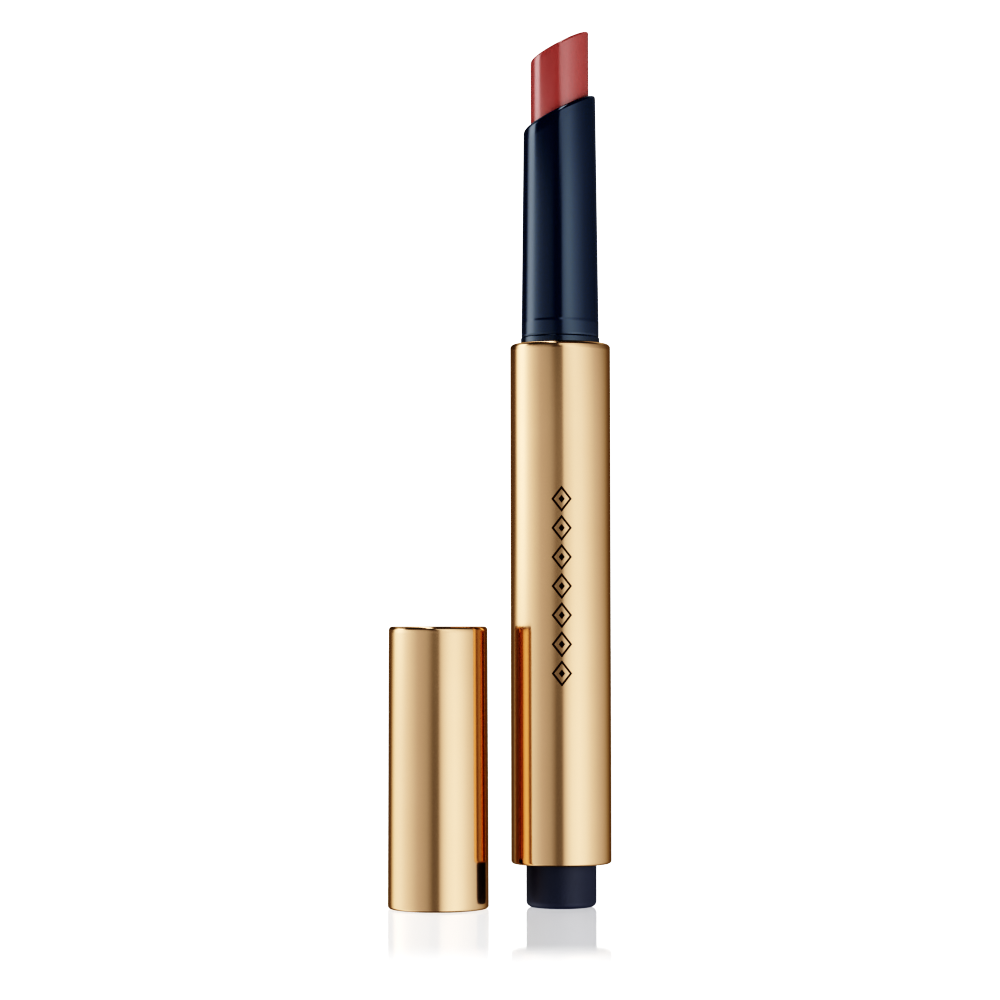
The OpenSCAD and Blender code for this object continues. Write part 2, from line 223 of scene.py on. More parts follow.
shoulder_z = CASE_TOP - CASE_LIP - FIT_GAP
barrel = turned("barrel", [
    (BARREL_R, BARREL_BOTTOM), (BARREL_R, shoulder_z), (NECK_R, shoulder_z), (NECK_R, NECK_TOP),
    (NECK_BORE, NECK_TOP), (NECK_BORE, NUT_Z), (LEDGE_R, NUT_Z), (LEDGE_R, SEAT_Z + SEAT_T),
    (SEAT_R, SEAT_Z + SEAT_T), (SEAT_R, SEAT_Z), (CHAMBER_R, SEAT_Z), (CHAMBER_R, BARREL_BOTTOM),
    (BARREL_R, BARREL_BOTTOM)], hold=CLOSE_HOLD)
round_ring(barrel, NECK_R, NECK_TOP, NECK_ROUND, segments=4)
finish_piece(barrel, "case", "dark_gloss_plastic", "inner_barrel")

# %% [markdown]
# ## The sleeve
# The sleeve is a long tapering tube with a snap bead at its foot and a slanted mouth. The
# slant is cut with a bisect through the turned tube, once above for the mouth and once just
# under it for a ring that holds the shading. The two cut rims are then bridged into a wall's
# edge, and both rims are rounded: the outer one widely, because it touches the lips.

# %% A slanted cut
def slanted_cut(piece, x, z, slope, **settings):
    """Bisects a piece by a plane that rises towards +X and passes x and z, in millimetres."""
    bpy.ops.object.mode_set(mode="EDIT")
    bpy.ops.mesh.select_all(action="SELECT")
    tilt = math.radians(slope)
    bpy.ops.mesh.bisect(plane_co=(x * MM, 0, z * MM),
                        plane_no=(-math.sin(tilt), 0, math.cos(tilt)), **settings)
    bpy.ops.object.mode_set(mode="OBJECT")


def above_slope(x, z, slope):
    """A test: how far a vertex lies above such a plane, in millimetres."""
    tilt = math.radians(slope)
    return lambda v: ((v.co.z / MM - z) * math.cos(tilt) - (v.co.x / MM - x) * math.sin(tilt))


# %% Sleeve
SLEEVE_SLOPE = 26.0
SLEEVE_TIP_R = 5.01
SLEEVE_BASE_R = 5.40
PLUG_R = 4.95
SLEEVE_BORE = BULLET_R + 0.1
MOUTH_RING = 2.0
BEAD_H = 2.25
BEAD_EDGE = 0.15
BEAD_LEAD = 0.2
SPARE = 3.0

bead_bottom = NECK_TOP + FIT_GAP
bead_top = bead_bottom + BEAD_H
taper = (SLEEVE_BASE_R - SLEEVE_TIP_R) / (SLEEVE_TOP - bead_top)
sleeve = turned("slanted_sleeve", [
    (SLEEVE_BORE, SLEEVE_BOTTOM), (PLUG_R, SLEEVE_BOTTOM), (PLUG_R, bead_bottom),
    (BEAD_R - BEAD_EDGE / 2, bead_bottom), (BEAD_R, bead_bottom + BEAD_EDGE),
    (BEAD_R, bead_top - BEAD_LEAD), (SLEEVE_BASE_R, bead_top),
    (SLEEVE_TIP_R - SPARE * taper, SLEEVE_TOP + SPARE), (SLEEVE_BORE, SLEEVE_TOP + SPARE),
    (SLEEVE_BORE, SLEEVE_BOTTOM)], hold=CLOSE_HOLD)
slanted_cut(sleeve, SLEEVE_TIP_R, SLEEVE_TOP - MOUTH_RING, SLEEVE_SLOPE)
slanted_cut(sleeve, SLEEVE_TIP_R, SLEEVE_TOP, SLEEVE_SLOPE, clear_outer=True)

# %% The sleeve's mouth
MOUTH_ROUND = 0.6
mouth_height = above_slope(SLEEVE_TIP_R, SLEEVE_TOP, SLEEVE_SLOPE)


def in_mouth(edge):
    return all(abs(mouth_height(v)) < 0.01 for v in edge.verts)


def rim(outer):
    """A test for the edges of the mouth's outer or inner rim."""
    middle = (SLEEVE_TIP_R + SLEEVE_BORE) / 2 * MM
    return lambda edge: in_mouth(edge) and all(
        (math.hypot(v.co.x, v.co.y) > middle) == outer for v in edge.verts)


bpy.ops.object.mode_set(mode="EDIT")
pick(sleeve, "edges", lambda edge: edge.is_boundary)
bpy.ops.mesh.bridge_edge_loops()
bpy.ops.mesh.select_all(action="SELECT")
bpy.ops.mesh.normals_make_consistent(inside=False)
pick(sleeve, "edges", rim(outer=True))
bpy.ops.mesh.bevel(offset=MOUTH_ROUND * MM, segments=8, profile=0.5, affect="EDGES")
pick(sleeve, "edges", rim(outer=False))
bpy.ops.mesh.bevel(offset=THIN_ROUND * MM, segments=3, profile=0.5, affect="EDGES")
bpy.ops.object.mode_set(mode="OBJECT")
finish_piece(sleeve, "case", "dark_gloss_plastic", "nozzle_sleeve")

# %% [markdown]
# ## The lipstick
# The stick is cast in a mould, so it is smooth, with a slanted tip whose edge is softly round.
# The slant is a bisect that fills its cut. The cut's rim is bevelled and its flat face inset,
# so that the face stays flat to the eye up to the round edge.

# %% Lipstick
BULLET_SLOPE = 27.0
SPIGOT_R = 3.62
TIP_RING = 1.2
TIP_ROUND = 0.4
TIP_FACE_RIM = 0.35

stick_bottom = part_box("bullet_cup")[1].z / MM + 0.03
bullet = turned("lipstick", [
    (0, BULLET_BOTTOM), (SPIGOT_R, BULLET_BOTTOM), (SPIGOT_R, stick_bottom),
    (BULLET_R, stick_bottom), (BULLET_R, BULLET_TOP + SPARE), (0, BULLET_TOP + SPARE)])
slanted_cut(bullet, BULLET_R, BULLET_TOP - TIP_RING, BULLET_SLOPE)
slanted_cut(bullet, BULLET_R, BULLET_TOP, BULLET_SLOPE, clear_outer=True, use_fill=True)
tip_height = above_slope(BULLET_R, BULLET_TOP, BULLET_SLOPE)
bpy.ops.object.mode_set(mode="EDIT")
pick(bullet, "edges", lambda edge: all(abs(tip_height(v)) < 0.005 for v in edge.verts))
bpy.ops.mesh.bevel(offset=TIP_ROUND * MM, segments=7, profile=0.5, affect="EDGES")
pick(bullet, "faces", lambda face: all(abs(tip_height(v)) < 0.005 for v in face.verts))
bpy.ops.mesh.inset(thickness=TIP_FACE_RIM * MM)
bpy.ops.object.mode_set(mode="OBJECT")
finish_piece(bullet, "carrier", "lipstick_wax", "lipstick_bullet")

# %% [markdown]
# ## The button
# The button is a moulded cup with a satin skin. It is the foot that the pen stands on, so its
# end is flat, with a round edge that the thumb can feel.

# %% Button
BUTTON_WALL = 0.75
BUTTON_FLOOR = 1.2
BUTTON_ROUND = 0.75

button = turned("push_button", [
    (0, BUTTON_BOTTOM), (BUTTON_R, BUTTON_BOTTOM), (BUTTON_R, BUTTON_TOP),
    (BUTTON_R - BUTTON_WALL, BUTTON_TOP), (BUTTON_R - BUTTON_WALL, BUTTON_BOTTOM + BUTTON_FLOOR),
    (0, BUTTON_BOTTOM + BUTTON_FLOOR)])
round_ring(button, BUTTON_R, BUTTON_BOTTOM, BUTTON_ROUND)
finish_piece(button, "button", "dark_satin_plastic", "button_cap")

# %% [markdown]
# ## The cap
# The cap is the same metal, closed at the top, and it narrows a little towards its closed end
# so that it can be drawn off its tool. Its rim is the thin edge that it stands on.

# %% Cap shell
CAP_DRAFT = 0.14
CAP_WALL = 0.65
CAP_TOP_T = 0.8
CAP_STEP = 0.15
CAP_STEP_Z = CAP_TOP - 6.5
CAP_STEP_RUN = 0.5
CAP_RIM_ROUND = 0.4
CAP_TOP_ROUND = 0.5

cap_bore = CAP_R - CAP_WALL
cap_tip_r = CAP_R - CAP_DRAFT
cap = turned("cap_tube", [
    (cap_bore, CAP_BOTTOM), (CAP_R, CAP_BOTTOM), (cap_tip_r, CAP_TOP), (0, CAP_TOP),
    (0, CAP_TOP - CAP_TOP_T), (cap_bore - CAP_STEP, CAP_TOP - CAP_TOP_T),
    (cap_bore - CAP_STEP, CAP_STEP_Z), (cap_bore, CAP_STEP_Z - CAP_STEP_RUN), (cap_bore, CAP_BOTTOM)],
    axis=CAP_AXIS)
round_ring(cap, CAP_R, CAP_BOTTOM, CAP_RIM_ROUND, axis=CAP_AXIS)
round_ring(cap, cap_tip_r, CAP_TOP, CAP_TOP_ROUND, axis=CAP_AXIS)
finish_piece(cap, "cap", "gold_metal", "cap_shell")

# %% [markdown]
# ## The return spring
# The spring is a coil of round wire. A circle with a Screw modifier winds it in one step, and
# filling the two open ends closes the wire. On the real pen it is the one piece that changes
# shape, flattening towards its upper seat as the button goes in; here it is built at one length.

# %% Return spring
WIRE_R = 0.25
COIL_R = 3.5
COIL_TURNS = 7
COIL_STEPS = 48

spring_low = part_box("return_spring")[0].z / MM
spring_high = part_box("return_spring")[1].z / MM
spring_length = spring_high - spring_low
deselect_all()
bpy.ops.mesh.primitive_circle_add(vertices=16, radius=WIRE_R * MM, rotation=(math.pi / 2, 0, 0),
                                  location=(COIL_R * MM, 0, (spring_low + WIRE_R) * MM))
spring = bpy.context.object
spring.name = "coil_spring"
bpy.ops.object.transform_apply(location=True, rotation=True, scale=True)
coil = spring.modifiers.new("coil", "SCREW")
coil.axis = "Z"
coil.angle = 2 * math.pi
coil.screw_offset = (spring_length - 2 * WIRE_R) / COIL_TURNS * MM
coil.iterations = COIL_TURNS
coil.steps = COIL_STEPS
coil.render_steps = COIL_STEPS
bpy.ops.object.modifier_apply(modifier="coil")
bpy.ops.object.mode_set(mode="EDIT")
pick(spring, "edges", lambda edge: edge.is_boundary)
bpy.ops.mesh.fill_holes(sides=0)
bpy.ops.mesh.select_all(action="SELECT")
bpy.ops.mesh.normals_make_consistent(inside=False)
bpy.ops.object.mode_set(mode="OBJECT")
finish_piece(spring, "case", "spring_steel", "return_spring", smooth=60)
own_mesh(spring)

# %% [markdown]
# ## Shader maths
# A finish is worked out by nodes. Written one node at a time, even a short sum takes many
# lines, so a small class wraps a node's output and lets Python's own + - * / add the Math nodes.

# %% A number that comes out of a node
class Channel:
    """A node's output that takes part in sums. Each sum adds a Math node."""

    def __init__(self, finish, socket):
        self.finish = finish
        self.socket = socket

    def sum_with(self, operation, first, second):
        return self.finish.node("ShaderNodeMath", {"operation": operation}, {0: first, 1: second})

    def __add__(self, other):
        return self.sum_with("ADD", self, other)

    def __radd__(self, other):
        return self.sum_with("ADD", other, self)

    def __sub__(self, other):
        return self.sum_with("SUBTRACT", self, other)

    def __rsub__(self, other):
        return self.sum_with("SUBTRACT", other, self)

    def __mul__(self, other):
        return self.sum_with("MULTIPLY", self, other)

    def __rmul__(self, other):
        return self.sum_with("MULTIPLY", other, self)

    def __truediv__(self, other):
        return self.sum_with("DIVIDE", self, other)

    def __rtruediv__(self, other):
        return self.sum_with("DIVIDE", other, self)

    def __lt__(self, other):
        return self.sum_with("LESS_THAN", self, other)

    def __gt__(self, other):
        return self.sum_with("GREATER_THAN", self, other)

    def __abs__(self):
        return self.sum_with("ABSOLUTE", self, 0)


# %% A tree of nodes
class Finish:
    """A node tree, of a material or of the world, and the one method that adds its nodes."""

    def __init__(self, tree):
        self.tree = tree

    def node(self, kind, settings=None, sockets=None, out=0):
        """Adds a node. Settings are set first, then values or channels go to its sockets."""
        made = self.tree.nodes.new(kind)
        for name, value in (settings or {}).items():
            if name == "stops":
                set_stops(made.color_ramp, value)
            else:
                setattr(made, name, value)
        for name, value in (sockets or {}).items():
            self.feed(made.inputs[name], value)
        return Channel(self, made.outputs[out])

    def feed(self, socket, value):
        if isinstance(value, Channel):
            self.tree.links.new(value.socket, socket)
        else:
            socket.default_value = value

    def blend(self, share, low, high):
        """Mixes two colours by a share from 0 to 1."""
        return self.node("ShaderNodeMix", {"data_type": "RGBA"}, {0: share, 6: low, 7: high}, out=2)


def set_stops(ramp, stops):
    """Gives a ramp its stops, as (place, grey level or colour)."""
    while len(ramp.elements) < len(stops):
        ramp.elements.new(0.5)
    for element, (place, value) in zip(ramp.elements, stops):
        element.position = place
        element.color = value if isinstance(value, tuple) else (value, value, value, 1)


# %% A plain principled finish to build on
def rgb(r, g, b):
    return (r, g, b, 1.0)


def new_finish(name, **fixed):
    """A material and its Finish. Fixed values go straight on the shader's own sockets."""
    material = bpy.data.materials.new(name)
    material.use_nodes = True
    finish = Finish(material.node_tree)
    finish.material = material
    finish.shader = material.node_tree.nodes["Principled BSDF"]
    for socket, value in fixed.items():
        finish.shader.inputs[socket.replace("_", " ")].default_value = value
    finish.place = finish.node("ShaderNodeTexCoord", out="Object")
    return finish


def vary(finish, **channels):
    """Links what changes over the surface to the shader."""
    for socket, channel in channels.items():
        finish.feed(finish.shader.inputs[socket.replace("_", " ")], channel)


def noise(finish, size, stretch=(1, 1, 1), detail=3):
    """Noise whose spots are about size millimetres wide, stretched along the axes."""
    spot = size * MM
    placed = finish.node("ShaderNodeMapping", None,
                         {"Vector": finish.place, "Scale": tuple(1 / (spot * s) for s in stretch)})
    return finish.node("ShaderNodeTexNoise", None, {"Vector": placed, "Scale": 1.0, "Detail": detail})


def bump(finish, height, depth):
    """A Bump node for relief that is depth millimetres high."""
    return finish.node("ShaderNodeBump", None, {"Height": height, "Distance": depth * MM})


# %% [markdown]
# ## Champagne gold
# The case and the cap are aluminium, polished, then anodised to a pale gold. The finish is a
# metal with a little roughness: enough to soften what it mirrors, not enough to blur it away.
# Drawing the tube leaves very fine lines along it, and handling leaves faint cloudy patches.
# The case also carries a printed ornament, a column of small lozenges, in dark ink.

# %% The printed ornament
PRINT_LOW = 30.5
PRINT_HIGH = 58.5
PRINT_PITCH = 4.0
LOZENGE_W = 1.4
LOZENGE_H = 1.8
LINE_INSIDE = 0.76
DOT = 0.3


def lozenge_print(finish):
    """A mask that is 1 on the ink: a column of lozenges with a dot in each, on the front."""
    axes = finish.tree.nodes.new("ShaderNodeSeparateXYZ")
    finish.feed(axes.inputs[0], finish.place)
    x, y, z = (Channel(finish, axes.outputs[i]) / MM for i in range(3))
    count = round((PRINT_HIGH - PRINT_LOW) / PRINT_PITCH)
    step = (z - PRINT_LOW) / PRINT_PITCH
    within = finish.node("ShaderNodeMath", {"operation": "FRACT"}, {0: step})
    upward = abs(within - 0.5) * (PRINT_PITCH / LOZENGE_H)
    reach = abs(x) / LOZENGE_W + upward
    outline = (reach < 1.0) * (reach > LINE_INSIDE)
    dot = reach < DOT
    column = (step > 0.0) * (step < float(count)) * (y < 0.0)
    return (outline + dot) * column


# %% Gold finishes
GOLD = rgb(0.80, 0.575, 0.388)
DEEP_GOLD = rgb(0.775, 0.55, 0.363)
GOLD_EDGE = rgb(0.85, 0.66, 0.45)
INK = rgb(0.035, 0.022, 0.018)


def gold_finish(name, printed):
    finish = new_finish(name, Metallic=1.0, Specular_Tint=GOLD_EDGE)
    clouds = noise(finish, 9, detail=2)
    lines = noise(finish, 0.09, stretch=(1, 1, 180), detail=2)
    colour = finish.blend(clouds, GOLD, DEEP_GOLD)
    roughness = 0.105 + clouds * 0.03 + lines * 0.03
    relief = bump(finish, lines, 0.00012)
    if printed:
        ink = lozenge_print(finish)
        colour = finish.blend(ink, colour, INK)
        roughness = roughness + ink * 0.25
        vary(finish, Metallic=1.0 - ink)
    vary(finish, Base_Color=colour, Roughness=roughness, Normal=relief)
    return finish.material


gold_case = gold_finish("champagne gold, printed", printed=True)
gold_cap = gold_finish("champagne gold", printed=False)
print("gold finishes:", gold_case.name, "and", gold_cap.name)

# %% [markdown]
# ## Dark plastics
# The sleeve and the barrel are moulded in a glossy midnight blue that is almost black. Its
# gloss is strong, with a faint waviness from the mould. The button and the collar are the same
# plastic with a fine satin grain, which spreads the light evenly.

# %% Dark plastic finishes
MIDNIGHT = rgb(0.003, 0.019, 0.070)
MIDNIGHT_DEEP = rgb(0.002, 0.015, 0.059)
SATIN_MIDNIGHT = rgb(0.046, 0.057, 0.105)


def glossy_midnight():
    finish = new_finish("glossy midnight blue", IOR=2.2, Specular_Tint=rgb(0.81, 0.92, 0.99))
    flow = noise(finish, 6, stretch=(1, 1, 4), detail=2)
    haze = noise(finish, 0.4, detail=4)
    vary(finish, Base_Color=finish.blend(flow, MIDNIGHT, MIDNIGHT_DEEP),
         Roughness=0.06 + haze * 0.05 + flow * 0.03, Normal=bump(finish, flow, 0.004))
    return finish.material


def satin_midnight():
    finish = new_finish("satin midnight blue", IOR=1.8)
    grain = noise(finish, 0.07, detail=3)
    patches = noise(finish, 3, detail=2)
    darker = tuple(0.85 * c for c in SATIN_MIDNIGHT[:3]) + (1.0,)
    vary(finish, Base_Color=finish.blend(patches, SATIN_MIDNIGHT, darker),
         Roughness=0.42 + grain * 0.1 + patches * 0.05, Normal=bump(finish, grain, 0.003))
    return finish.material


glossy_dark = glossy_midnight()
satin_dark = satin_midnight()
print("dark finishes:", glossy_dark.name, "and", satin_dark.name)

# %% [markdown]
# ## Lipstick
# The stick is a wax that holds a lot of pigment and oil. The oil gives it a wet gloss over a
# deep rose-red body, in which light travels a little way. Casting leaves faint lines along it.

# %% Lipstick finish
ROSE_RED = rgb(0.61, 0.175, 0.165)
ROSE_DEEP = rgb(0.57, 0.155, 0.145)


def wax_finish():
    finish = new_finish("rose-red wax", IOR=2.1, Subsurface_Weight=0.08, Subsurface_Scale=0.6 * MM,
                        Subsurface_Radius=(1.0, 0.3, 0.2))
    streaks = noise(finish, 0.25, stretch=(1, 1, 40), detail=3)
    mottle = noise(finish, 1.5, detail=3)
    vary(finish, Base_Color=finish.blend(mottle, ROSE_RED, ROSE_DEEP),
         Roughness=0.05 + mottle * 0.05 + streaks * 0.04, Normal=bump(finish, streaks, 0.001))
    return finish.material


wax = wax_finish()
print("lipstick finish:", wax.name)

# %% [markdown]
# ## Inner pieces
# The clicker's pieces are plain moulded plastic, the spring is drawn wire and the rings are
# rubber. They only show where the pen is taken apart, but each still gets its own surface:
# moulding grain and flow on the plastics, draw lines on the wire and a dull bloom on the rubber.

# %% Inner finishes
def moulded_finish(name, colour, roughness):
    finish = new_finish(name, IOR=1.48, Subsurface_Weight=0.1, Subsurface_Scale=0.5 * MM)
    flow = noise(finish, 2.5, stretch=(1, 1, 3), detail=2)
    grain = noise(finish, 0.06, detail=2)
    shade = tuple(0.93 * c for c in colour[:3]) + (1.0,)
    vary(finish, Base_Color=finish.blend(flow, colour, shade),
         Roughness=roughness + flow * 0.08 + grain * 0.05, Normal=bump(finish, grain, 0.002))
    return finish.material


def wire_finish():
    finish = new_finish("drawn spring wire", Metallic=1.0)
    lines = noise(finish, 0.05, stretch=(1, 1, 6), detail=3)
    vary(finish, Base_Color=finish.blend(lines, rgb(0.62, 0.63, 0.65), rgb(0.52, 0.53, 0.56)),
         Roughness=0.24 + lines * 0.12, Normal=bump(finish, lines, 0.001))
    return finish.material


def rubber_finish():
    finish = new_finish("black rubber", IOR=1.5)
    bloom = noise(finish, 0.5, detail=4)
    vary(finish, Base_Color=finish.blend(bloom, rgb(0.018, 0.018, 0.019), rgb(0.035, 0.035, 0.036)),
         Roughness=0.62 + bloom * 0.2, Normal=bump(finish, bloom, 0.004))
    return finish.material


natural = moulded_finish("natural acetal", rgb(0.78, 0.75, 0.67), 0.34)
white = moulded_finish("white moulded plastic", rgb(0.82, 0.82, 0.80), 0.30)
wire = wire_finish()
rubber = rubber_finish()
print("inner finishes:", ", ".join(finish.name for finish in (natural, white, wire, rubber)))

# %% Give every piece its finish
finishes = {
    case: gold_case, cap: gold_cap, barrel: glossy_dark, sleeve: glossy_dark,
    button: satin_dark, bullet: wax, spring: wire}
node_finishes = {
    "end_collar": satin_dark, "cap_liner": glossy_dark, "sleeve_o_ring": rubber,
    "cup_o_ring": rubber, "rod_nut": natural, "upper_cam_ring": natural,
    "lower_cam_ring": natural, "button_pusher": natural, "cam_rotor": white,
    "spring_washer": white, "threaded_rod": white, "bullet_cup": white}
for piece, finish in finishes.items():
    piece.data.materials.clear()
    piece.data.materials.append(finish)
for name, finish in node_finishes.items():
    for material_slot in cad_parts[name].material_slots:
        material_slot.material = finish
print(len(finishes), "modelled pieces and", len(node_finishes), "packed nodes have a finish")

# %% [markdown]
# ## The studio
# The pen stands in a dim studio between two tall white cards. The left card is brightest at
# its far end and fades towards the camera, the right one is more even, and the camera looks
# through the dark gap between them. Low down the gap is darker and the right card brighter, and
# high up both cards are narrower. The ceiling is dark, with one narrow strip light, and a little
# light comes back from the rear wall. Painting all of that on the world, by the compass
# direction and the height of each ray, is simpler than building it, and keeps the stripes even
# along each piece. Only what mirrors the studio sees it: the camera sees plain white, and so
# does the table.

# %% Studio walls
DIM = 0.21
FAINT = 0.13
REAR = 0.55
WHITE_WALL = 2.0
CARDS = [
    (-180, REAR), (-174, REAR), (-171, DIM), (-132, DIM), (-124, 0.58), (-117, 1.45),
    (-104, 1.66), (-94, 1.58), (-80, 1.10), (-62, 0.80), (-47, 0.61), (-25, 0.53), (-16, 0.44),
    (-10, 0.345), (3, 0.355), (7.5, 0.84), (20, 0.99), (32, 1.15), (48, 1.14), (66, 0.94),
    (85, 0.71), (105, 0.57), (124, 0.42), (134, 0.30), (148, DIM), (171, DIM), (174, REAR)]
HIGH_CARDS = [
    (-180, REAR), (-174, REAR), (-171, FAINT), (-129, FAINT), (-122, 0.55), (-113, 1.38),
    (-104, 1.74), (-94, 1.62), (-80, 1.02), (-65, 0.68), (-50, 0.52), (-35, 0.43), (-25, 0.34),
    (-16, FAINT), (1, FAINT), (7, 0.86), (13, 1.10), (22, 1.24), (32, 1.17), (46, 0.94), (62, 0.72),
    (80, 0.49), (100, 0.36), (124, 0.24), (136, 0.20), (148, DIM), (171, DIM), (174, REAR)]
TIP_CARDS = [
    (-180, REAR), (-174, REAR), (-171, FAINT), (-127, FAINT), (-120, 0.60), (-112, 1.60),
    (-104, 1.95), (-92, 1.95), (-84, 0.35), (-77, FAINT), (-6, FAINT), (-1, 0.90), (5, 0.98),
    (30, 0.97), (45, 0.75), (60, 0.56), (75, 0.43), (95, 0.33), (124, 0.23), (148, DIM), (171, DIM),
    (174, REAR)]
LOW_CARDS = [
    (-180, REAR), (-174, REAR), (-171, DIM), (-140, DIM), (-129, 0.74), (-118, 1.18),
    (-104, 1.20), (-94, 1.14), (-80, 0.97), (-62, 0.77), (-47, 0.61), (-25, 0.47), (-16, 0.33),
    (-11, 0.235), (1, 0.25), (6, 0.65), (14, 0.97), (24, 1.20), (40, 1.31), (56, 1.17),
    (72, 0.93), (90, 0.72), (105, 0.61), (124, 0.46), (134, 0.35), (148, DIM), (171, DIM),
    (174, REAR)]

world = bpy.data.worlds.new("studio")
world.cycles.sampling_method = "NONE"
bpy.context.scene.world = world
world.use_nodes = True
studio = Finish(world.node_tree)
heading = world.node_tree.nodes.new("ShaderNodeSeparateXYZ")
studio.feed(heading.inputs[0], studio.node("ShaderNodeTexCoord", out="Generated"))
to_x, to_y, to_z = (Channel(studio, heading.outputs[i]) for i in range(3))
compass = studio.node("ShaderNodeMath", {"operation": "ARCTAN2"}, {0: to_x, 1: 0.0 - to_y})
turn = compass / (2 * math.pi) + 0.5


def ring_of_cards(levels):
    stops = [((angle + 180) / 360, level) for angle, level in levels]
    return studio.node("ShaderNodeValToRGB", {"stops": stops}, {"Fac": turn})


def rise(value, low, high):
    """Goes smoothly from 0 at low to 1 at high."""
    return studio.node("ShaderNodeMapRange", {"interpolation_type": "SMOOTHSTEP"}, {
        "Value": value, "From Min": low, "From Max": high, "To Min": 0.0, "To Max": 1.0})


# %% Cards, dark ceiling and strip light
CEILING = 0.09
STRIP_LIGHT = 2.2
UNDERSIDE = 0.12
LOW_TO_MIDDLE = (-0.03, 0.045)
MIDDLE_TO_HIGH = (0.090, 0.122)
HIGH_TO_TIP = (0.182, 0.190)
WALLS_TO_CEILING = (0.40, 0.52)
CEILING_TO_REAR = (0.2, 0.6)
WALLS_TO_UNDERSIDE = (0.75, 0.95)
STRIP_HEIGHT = (0.70, 0.74)
STRIP_LEFT = (-0.37, -0.33)
STRIP_RIGHT = (-0.18, -0.14)


def grey(level):
    return rgb(level, level, level)


cards = studio.blend(rise(to_z, *LOW_TO_MIDDLE), ring_of_cards(LOW_CARDS), ring_of_cards(CARDS))
cards = studio.blend(rise(to_z, *MIDDLE_TO_HIGH), cards, ring_of_cards(HIGH_CARDS))
cards = studio.blend(rise(to_z, *HIGH_TO_TIP), cards, ring_of_cards(TIP_CARDS))
ceiling = studio.blend(rise(to_y, *CEILING_TO_REAR), grey(CEILING), grey(REAR))
strip = rise(to_z, *STRIP_HEIGHT) * rise(to_x, *STRIP_LEFT) * (1.0 - rise(to_x, *STRIP_RIGHT))
ceiling = studio.blend(strip, ceiling, grey(STRIP_LIGHT))
walls = studio.blend(rise(to_z, *WALLS_TO_CEILING), cards, ceiling)
walls = studio.blend(rise(0.0 - to_z, *WALLS_TO_UNDERSIDE), walls, grey(UNDERSIDE))

# %% Plain white for the camera and the table
seen = studio.node("ShaderNodeLightPath", out="Is Camera Ray")
mirrored = studio.node("ShaderNodeLightPath", out="Is Glossy Ray")
bounced = studio.node("ShaderNodeLightPath", out="Ray Depth")
filmed = studio.node("ShaderNodeLightPath", out="Transparent Depth")
# The world counts one more bounce than the ray has made, so one mirror makes a depth of 2.
bounced_once = bounced < 2.5
off_table = mirrored * bounced_once * (filmed > 0.5)
backdrop = world.node_tree.nodes["Background"]
studio.feed(backdrop.inputs["Color"], studio.blend(
    studio.node("ShaderNodeMath", {"operation": "MAXIMUM"}, {0: seen, 1: off_table}),
    walls, grey(WHITE_WALL)))
print("studio walls with", len(LOW_CARDS), len(CARDS), len(HIGH_CARDS), len(TIP_CARDS), "stops")

# %% [markdown]
# ## The table
# The table is a sheet of polished white acrylic, lit from below, as catalogues use. It glows
# white, hides all but the softest shadow, and shows a short, weak mirror image in front of each
# foot when it is seen from low down. It doesn't show in the metal, as a retoucher would keep it
# out, and it is clear from below, so that the pen's foot can be looked at.

# %% Table
FLOOR_HALF = 6.0
TABLE_Z = -0.05 * MM
ASIDE = -8.5 * MM
GLOW = 1.25
SHINE = 0.68
CAP_SHINE_LOSS = 0.3
SHINE_START = 0.6
SHINE_REACH = 78 * MM
SHINE_WIDE = 10.5 * MM
LOW_LOOK = (0.76, 0.87)

deselect_all()
bpy.ops.mesh.primitive_plane_add(size=2 * FLOOR_HALF, location=(0, 0, TABLE_Z))
table = bpy.context.object
table.name = "table"
table.visible_glossy = False
table.visible_diffuse = False
acrylic = new_finish("lit acrylic table", Roughness=0.6, Base_Color=rgb(0.9, 0.9, 0.9),
                     Emission_Color=rgb(1.0, 1.0, 1.0), Emission_Strength=GLOW,
                     Specular_IOR_Level=0.0)
axes = acrylic.tree.nodes.new("ShaderNodeSeparateXYZ")
acrylic.feed(axes.inputs[0], acrylic.place)
across = Channel(acrylic, axes.outputs[0])
from_pen = abs(across - PEN_AXIS[0] * MM) / SHINE_WIDE
from_cap = abs(across - CAP_AXIS[0] * MM) / SHINE_WIDE
aside = acrylic.node("ShaderNodeMath", {"operation": "MINIMUM"}, {0: from_pen, 1: from_cap})
ahead = abs(Channel(acrylic, axes.outputs[1])) / SHINE_REACH
away = acrylic.node("ShaderNodeMath", {"operation": "MAXIMUM"}, {0: aside * aside * aside, 1: ahead})
shine = acrylic.node("ShaderNodeMapRange", {"interpolation_type": "SMOOTHSTEP"}, {
    "Value": away, "From Min": SHINE_START, "From Max": 1.0, "To Min": SHINE, "To Max": 0.0})
shine = shine * (1.0 - (across < ASIDE) * CAP_SHINE_LOSS)
facing = acrylic.node("ShaderNodeLayerWeight", out="Facing")
shine = shine * acrylic.node("ShaderNodeMapRange", {"interpolation_type": "SMOOTHSTEP"}, {
    "Value": facing, "From Min": LOW_LOOK[0], "From Max": LOW_LOOK[1], "To Min": 0.0, "To Max": 1.0})
mirror = acrylic.node("ShaderNodeBsdfAnisotropic", None, {"Color": rgb(1, 1, 1), "Roughness": 0.05})
lit = Channel(acrylic, acrylic.shader.outputs[0])
surface = acrylic.node("ShaderNodeMixShader", None, {0: shine, 1: lit, 2: mirror})
below = acrylic.node("ShaderNodeNewGeometry", out="Backfacing")
clear = acrylic.node("ShaderNodeBsdfTransparent")
surface = acrylic.node("ShaderNodeMixShader", None, {0: below, 1: surface, 2: clear})
acrylic.feed(acrylic.tree.nodes["Material Output"].inputs["Surface"], surface)
table.data.materials.append(acrylic.material)
print(f"table {2 * FLOOR_HALF:.0f} m wide, mirror zone {SHINE_REACH / MM:.0f} mm deep at the feet")

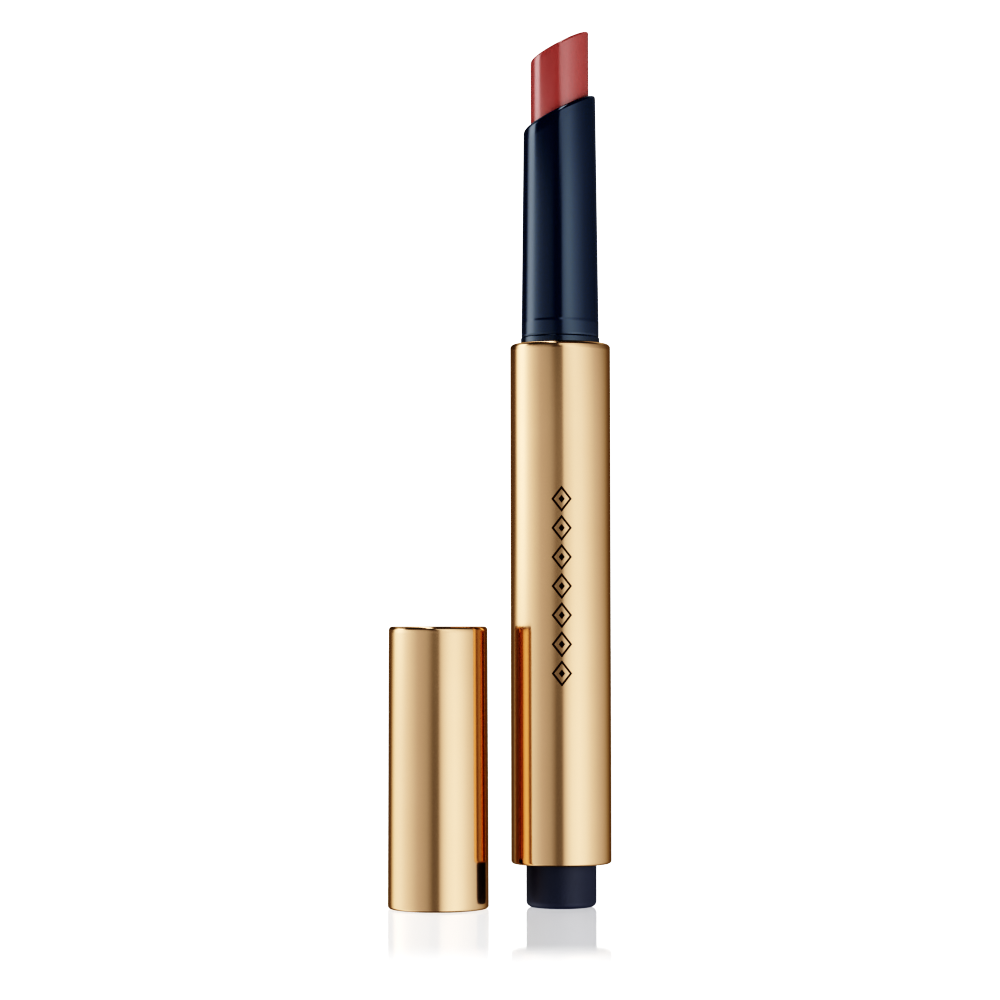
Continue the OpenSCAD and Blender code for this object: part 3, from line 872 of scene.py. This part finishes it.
# %% [markdown]
# ## A clear film over the table
# The table should mirror the pen and the cap, but not the studio's walls. A film that can't be
# seen lies just over the table round the feet. It marks the rays that pass through it, and the
# world shows plain white to the marked ones that come straight off the table.

# %% Clear film
FILM_Z = -0.02 * MM
FILM_WIDTH = 4 * SHINE_REACH

deselect_all()
bpy.ops.mesh.primitive_plane_add(size=FILM_WIDTH, location=(ASIDE, 0, FILM_Z))
film = bpy.context.object
film.name = "clear_film"
film.visible_glossy = False
film.visible_diffuse = False
see_through = new_finish("clear film")
sheer = see_through.node("ShaderNodeBsdfTransparent")
see_through.feed(see_through.tree.nodes["Material Output"].inputs["Surface"], sheer)
film.data.materials.append(see_through.material)
print(f"film {FILM_WIDTH / MM:.0f} mm wide, {(FILM_Z - TABLE_Z) / MM:.2f} mm over the table")

# %% [markdown]
# ## The camera
# The camera stands level with the lower third of the pen, far enough away for the walls to look
# upright. Tilted up a little, with the lens shifted up as well, it frames the whole pen with
# almost no convergence.

# %% Camera
CAMERA_FAR = 0.400
EYE_LEVEL = 38.2 * MM
PICTURE_WIDTH = 0.1398
CAMERA_LEAN = math.radians(0.1)
CAMERA_TILT = math.radians(1.85)

camera_data = bpy.data.cameras.new("camera")
camera_data.sensor_width = 36.0
camera_data.lens = camera_data.sensor_width * CAMERA_FAR / PICTURE_WIDTH
camera_data.shift_y = 0.0396
camera_data.clip_start = 0.01
camera = bpy.data.objects.new("camera", camera_data)
camera.location = (ASIDE, -CAMERA_FAR, EYE_LEVEL)
camera.rotation_euler = (math.pi / 2 + CAMERA_TILT, CAMERA_LEAN, 0)
bpy.context.collection.objects.link(camera)
bpy.context.scene.camera = camera
print(f"camera {CAMERA_FAR:.1f} m away, with a {camera_data.lens:.0f} mm lens")

# %% [markdown]
# ## Developing the picture
# A product picture is developed with a firm contrast: deep darks, and brights that ease into
# white. A curve in the scene's colour management does that, from light to picture.

# %% Contrast curve
BRIGHTEST = 1.3
CONTRAST = [(0.042, 0.006), (0.08, 0.031), (0.123, 0.093), (0.23, 0.30), (0.385, 0.575), (0.6, 0.81)]

view = bpy.context.scene.view_settings
view.view_transform = "Standard"
view.look = "None"
view.use_curve_mapping = True
tone = view.curve_mapping
tone.white_level = (BRIGHTEST, BRIGHTEST, BRIGHTEST)
for dark, shown in CONTRAST:
    tone.curves[3].points.new(dark, shown)
tone.update()
print("contrast curve with", len(CONTRAST), "points between black and white")
